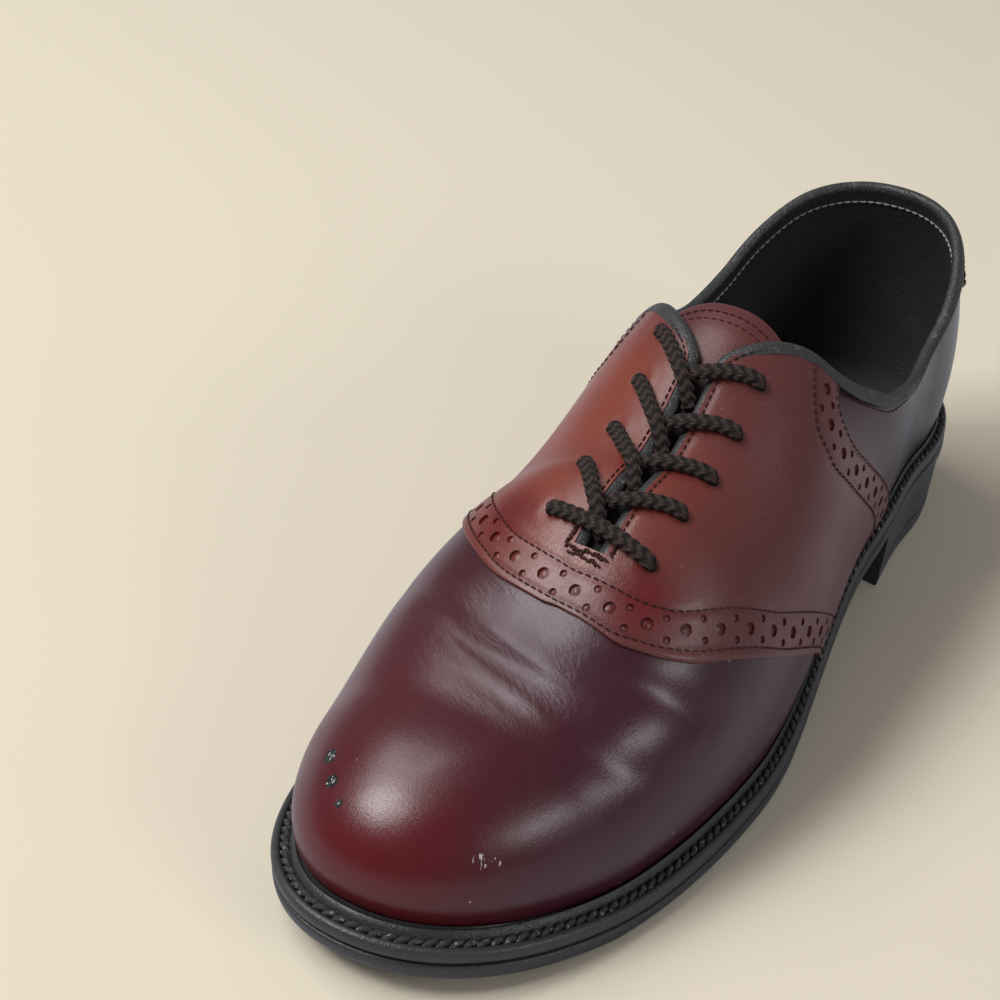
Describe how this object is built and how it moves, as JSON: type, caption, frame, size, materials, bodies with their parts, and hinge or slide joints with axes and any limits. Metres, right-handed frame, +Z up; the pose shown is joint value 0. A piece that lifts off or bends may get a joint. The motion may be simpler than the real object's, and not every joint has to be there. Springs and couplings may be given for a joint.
{
  "type": "saddle shoe",
  "caption": "Worn leather lace-up saddle shoe for the left foot, with a brogued contrast saddle and heel tab, a storm welt and a black rubber sole with heel.",
  "frame": {"origin": "on the floor, under the middle of the shoe's box", "axes": "+Z up from the floor the shoe stands on; the heel is towards +Y and the toe towards -Y; +X is the outer (little-toe) side of the left foot"},
  "size_m": [0.113, 0.3082, 0.1153],
  "materials": {
    "rubber": "satin black moulded rubber",
    "plum_leather": "polished, worn",
    "mahogany_leather": "polished, worn",
    "binding": "dull, rubbed grey at the fold",
    "insole": "matt",
    "lace": "braided, matt"
  },
  "bodies": {
    "root": {"outsole": "rubber", "heel": "rubber", "welt": "rubber", "insole": "insole", "upper": "plum_leather", "saddle": "mahogany_leather", "heel_tab": "mahogany_leather", "tongue": "mahogany_leather", "collar_binding": "binding", "lace_row_1": "lace", "lace_row_2": "lace", "lace_row_3": "lace", "lace_row_4": "lace", "lace_row_5": "lace"}
  },
  "joints": []
}
